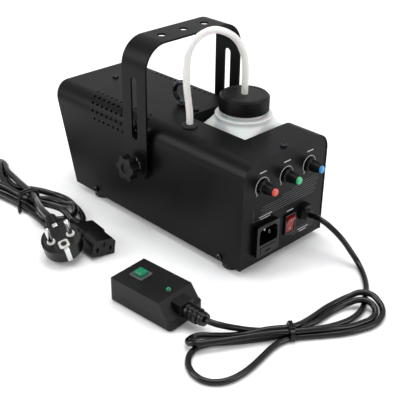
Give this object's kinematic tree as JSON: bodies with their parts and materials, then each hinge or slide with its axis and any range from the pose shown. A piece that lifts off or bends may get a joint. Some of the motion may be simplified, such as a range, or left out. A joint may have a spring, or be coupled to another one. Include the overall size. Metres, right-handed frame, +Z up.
{
  "type": "fog machine",
  "caption": "Compact black fog machine with carrying handle, drop-in fluid bottle on a feed hose, rear controls, wired remote and separate mains lead.",
  "frame": {"origin": "on the surface the machine stands on, below the middle of the cover's length and width", "axes": "+X towards the control panel with -X the way the fog leaves, +Y towards the side the tank bay opens on, +Z up"},
  "size_m": [0.495, 0.26, 0.2027],
  "materials": {
    "powder_coat": "black fine-textured satin powder coat",
    "cast_alloy": "as-cast",
    "insulation": "woven glass fibre",
    "plated_steel": "zinc or nickel plated",
    "ceramic": "glazed",
    "brass": "turned",
    "copper": "drawn tube",
    "black_plastic": "moulded, fine texture",
    "gloss_black_plastic": "moulded, satin to gloss",
    "grey_plastic": "moulded",
    "circuit_board": "solder mask",
    "clear_lens": "clear moulded",
    "black_rubber": "matt",
    "black_steel": "black oxide, slightly shiny",
    "milky_hose": "soft translucent tube",
    "milky_bottle": "blow-moulded, translucent",
    "liner_foam": "foamed",
    "fuse_glass": "glass with metal ends",
    "red_rocker": "translucent red",
    "red_plastic": "moulded",
    "green_plastic": "moulded",
    "blue_plastic": "moulded",
    "green_button": "translucent green",
    "cable_rubber": "smooth satin sheath"
  },
  "bodies": {
    "casing": {"cover": "powder_coat", "base_plate": "powder_coat", "rear_panel": "powder_coat", "front_panel": "powder_coat", "tank_bay": "powder_coat", "heater_block": "cast_alloy", "heater_jacket": "insulation", "heater_brackets": "plated_steel", "thermostat": "ceramic", "nozzle": "brass", "pump_body": "black_plastic", "outlet_pipe": "copper", "control_board": "circuit_board", "led_board": "circuit_board", "led_lenses": "clear_lens", "feet": "black_rubber", "casing_screws": "black_steel", "eye_bolt": "black_steel", "hose_grommet": "black_rubber", "feed_hose": "milky_hose", "friction_discs": "black_rubber", "inlet_housing": "gloss_black_plastic", "inlet_pins": "plated_steel", "switch_frame": "gloss_black_plastic", "control_pots": "plated_steel", "cable_gland": "gloss_black_plastic", "remote_upper_shell": "black_plastic", "remote_lower_shell": "black_plastic", "button_bezel": "grey_plastic", "remote_board": "circuit_board", "remote_relief": "black_rubber", "remote_cable_run": "cable_rubber", "remote_cable_hank": "cable_rubber", "remote_cable_end": "cable_rubber", "hank_tie": "black_plastic", "mains_plug": "cable_rubber", "plug_pins": "plated_steel", "mains_connector": "cable_rubber", "mains_hank": "cable_rubber", "mains_tails": "cable_rubber"},
    "piston": {"pump_piston": "plated_steel"},
    "tank": {"bottle": "milky_bottle", "dip_tube": "milky_hose"},
    "liner": {"cap_liner": "liner_foam"},
    "cap": {"bottle_cap": "black_plastic"},
    "handle": {"handle_bracket": "powder_coat"},
    "near_clamp": {"near_washer": "plated_steel"},
    "near_hand_knob": {"near_star_knob": "black_plastic"},
    "far_clamp": {"far_washer": "plated_steel"},
    "far_hand_knob": {"far_star_knob": "black_plastic"},
    "fuse_tray": {"fuse_drawer": "gloss_black_plastic", "fuse": "fuse_glass"},
    "rocker": {"power_rocker": "red_rocker"},
    "red_control": {"red_knob": "black_plastic", "red_cap": "red_plastic"},
    "green_control": {"green_knob": "black_plastic", "green_cap": "green_plastic"},
    "blue_control": {"blue_knob": "black_plastic", "blue_cap": "blue_plastic"},
    "button": {"remote_button": "green_button"}
  },
  "joints": [
    {"name": "handle_tilt", "type": "hinge", "parent": "casing", "child": "handle", "pos_m": [0, 0, 0.067], "axis": [0, 1, 0], "range_deg": [-57, 8]},
    {"name": "near_clamp_travel", "type": "slide", "parent": "casing", "child": "near_clamp", "axis": [0, -1, 0], "range_m": [0, 0.003]},
    {"name": "near_knob_turn", "type": "hinge", "parent": "near_clamp", "child": "near_hand_knob", "pos_m": [0, -0.0639, 0.067], "axis": [0, -1, 0], "range_deg": [0, 1080]},
    {"name": "far_clamp_travel", "type": "slide", "parent": "casing", "child": "far_clamp", "axis": [0, 1, 0], "range_m": [0, 0.003]},
    {"name": "far_knob_turn", "type": "hinge", "parent": "far_clamp", "child": "far_hand_knob", "pos_m": [0, 0.0639, 0.067], "axis": [0, 1, 0], "range_deg": [0, 1080]},
    {"name": "tank_lift", "type": "slide", "parent": "casing", "child": "tank", "axis": [0, 0, 1], "range_m": [0, 0.03], "deforming": ["feed_hose"]},
    {"name": "liner_rise", "type": "slide", "parent": "tank", "child": "liner", "axis": [0, 0, 1], "range_m": [0, 0.006]},
    {"name": "cap_turn", "type": "hinge", "parent": "liner", "child": "cap", "pos_m": [0.0607, 0.0215, 0.12], "axis": [0, 0, 1], "range_deg": [0, 540]},
    {"name": "red_turn", "type": "hinge", "parent": "casing", "child": "red_control", "pos_m": [0.1344, -0.032, 0.0844], "axis": [1, 0, 0], "range_deg": [-150, 150]},
    {"name": "green_turn", "type": "hinge", "parent": "casing", "child": "green_control", "pos_m": [0.1344, 0, 0.0844], "axis": [1, 0, 0], "range_deg": [-150, 150]},
    {"name": "blue_turn", "type": "hinge", "parent": "casing", "child": "blue_control", "pos_m": [0.1344, 0.032, 0.0844], "axis": [1, 0, 0], "range_deg": [-150, 150]},
    {"name": "rocker_tip", "type": "hinge", "parent": "casing", "child": "rocker", "pos_m": [0.1324, 0.0088, 0.0316], "axis": [0, 1, 0], "range_deg": [-18, 0]},
    {"name": "fuse_tray_slide", "type": "slide", "parent": "casing", "child": "fuse_tray", "axis": [1, 0, 0], "range_m": [0, 0.018]},
    {"name": "button_press", "type": "slide", "parent": "casing", "child": "button", "axis": [0, 0, -1], "range_m": [0, 0.0025], "stiffness_N_per_m": 500, "springref_m": -0.002},
    {"name": "piston_stroke", "type": "slide", "parent": "casing", "child": "piston", "axis": [0, 0, 1], "range_m": [-0.002, 0.002], "stiffness_N_per_m": 400}
  ],
  "couplings": [
    {"joint": "near_knob_turn", "follows": "near_clamp_travel", "rad_per_m": 6283},
    {"joint": "far_knob_turn", "follows": "far_clamp_travel", "rad_per_m": 6283},
    {"joint": "cap_turn", "follows": "liner_rise", "rad_per_m": 1570.7}
  ]
}
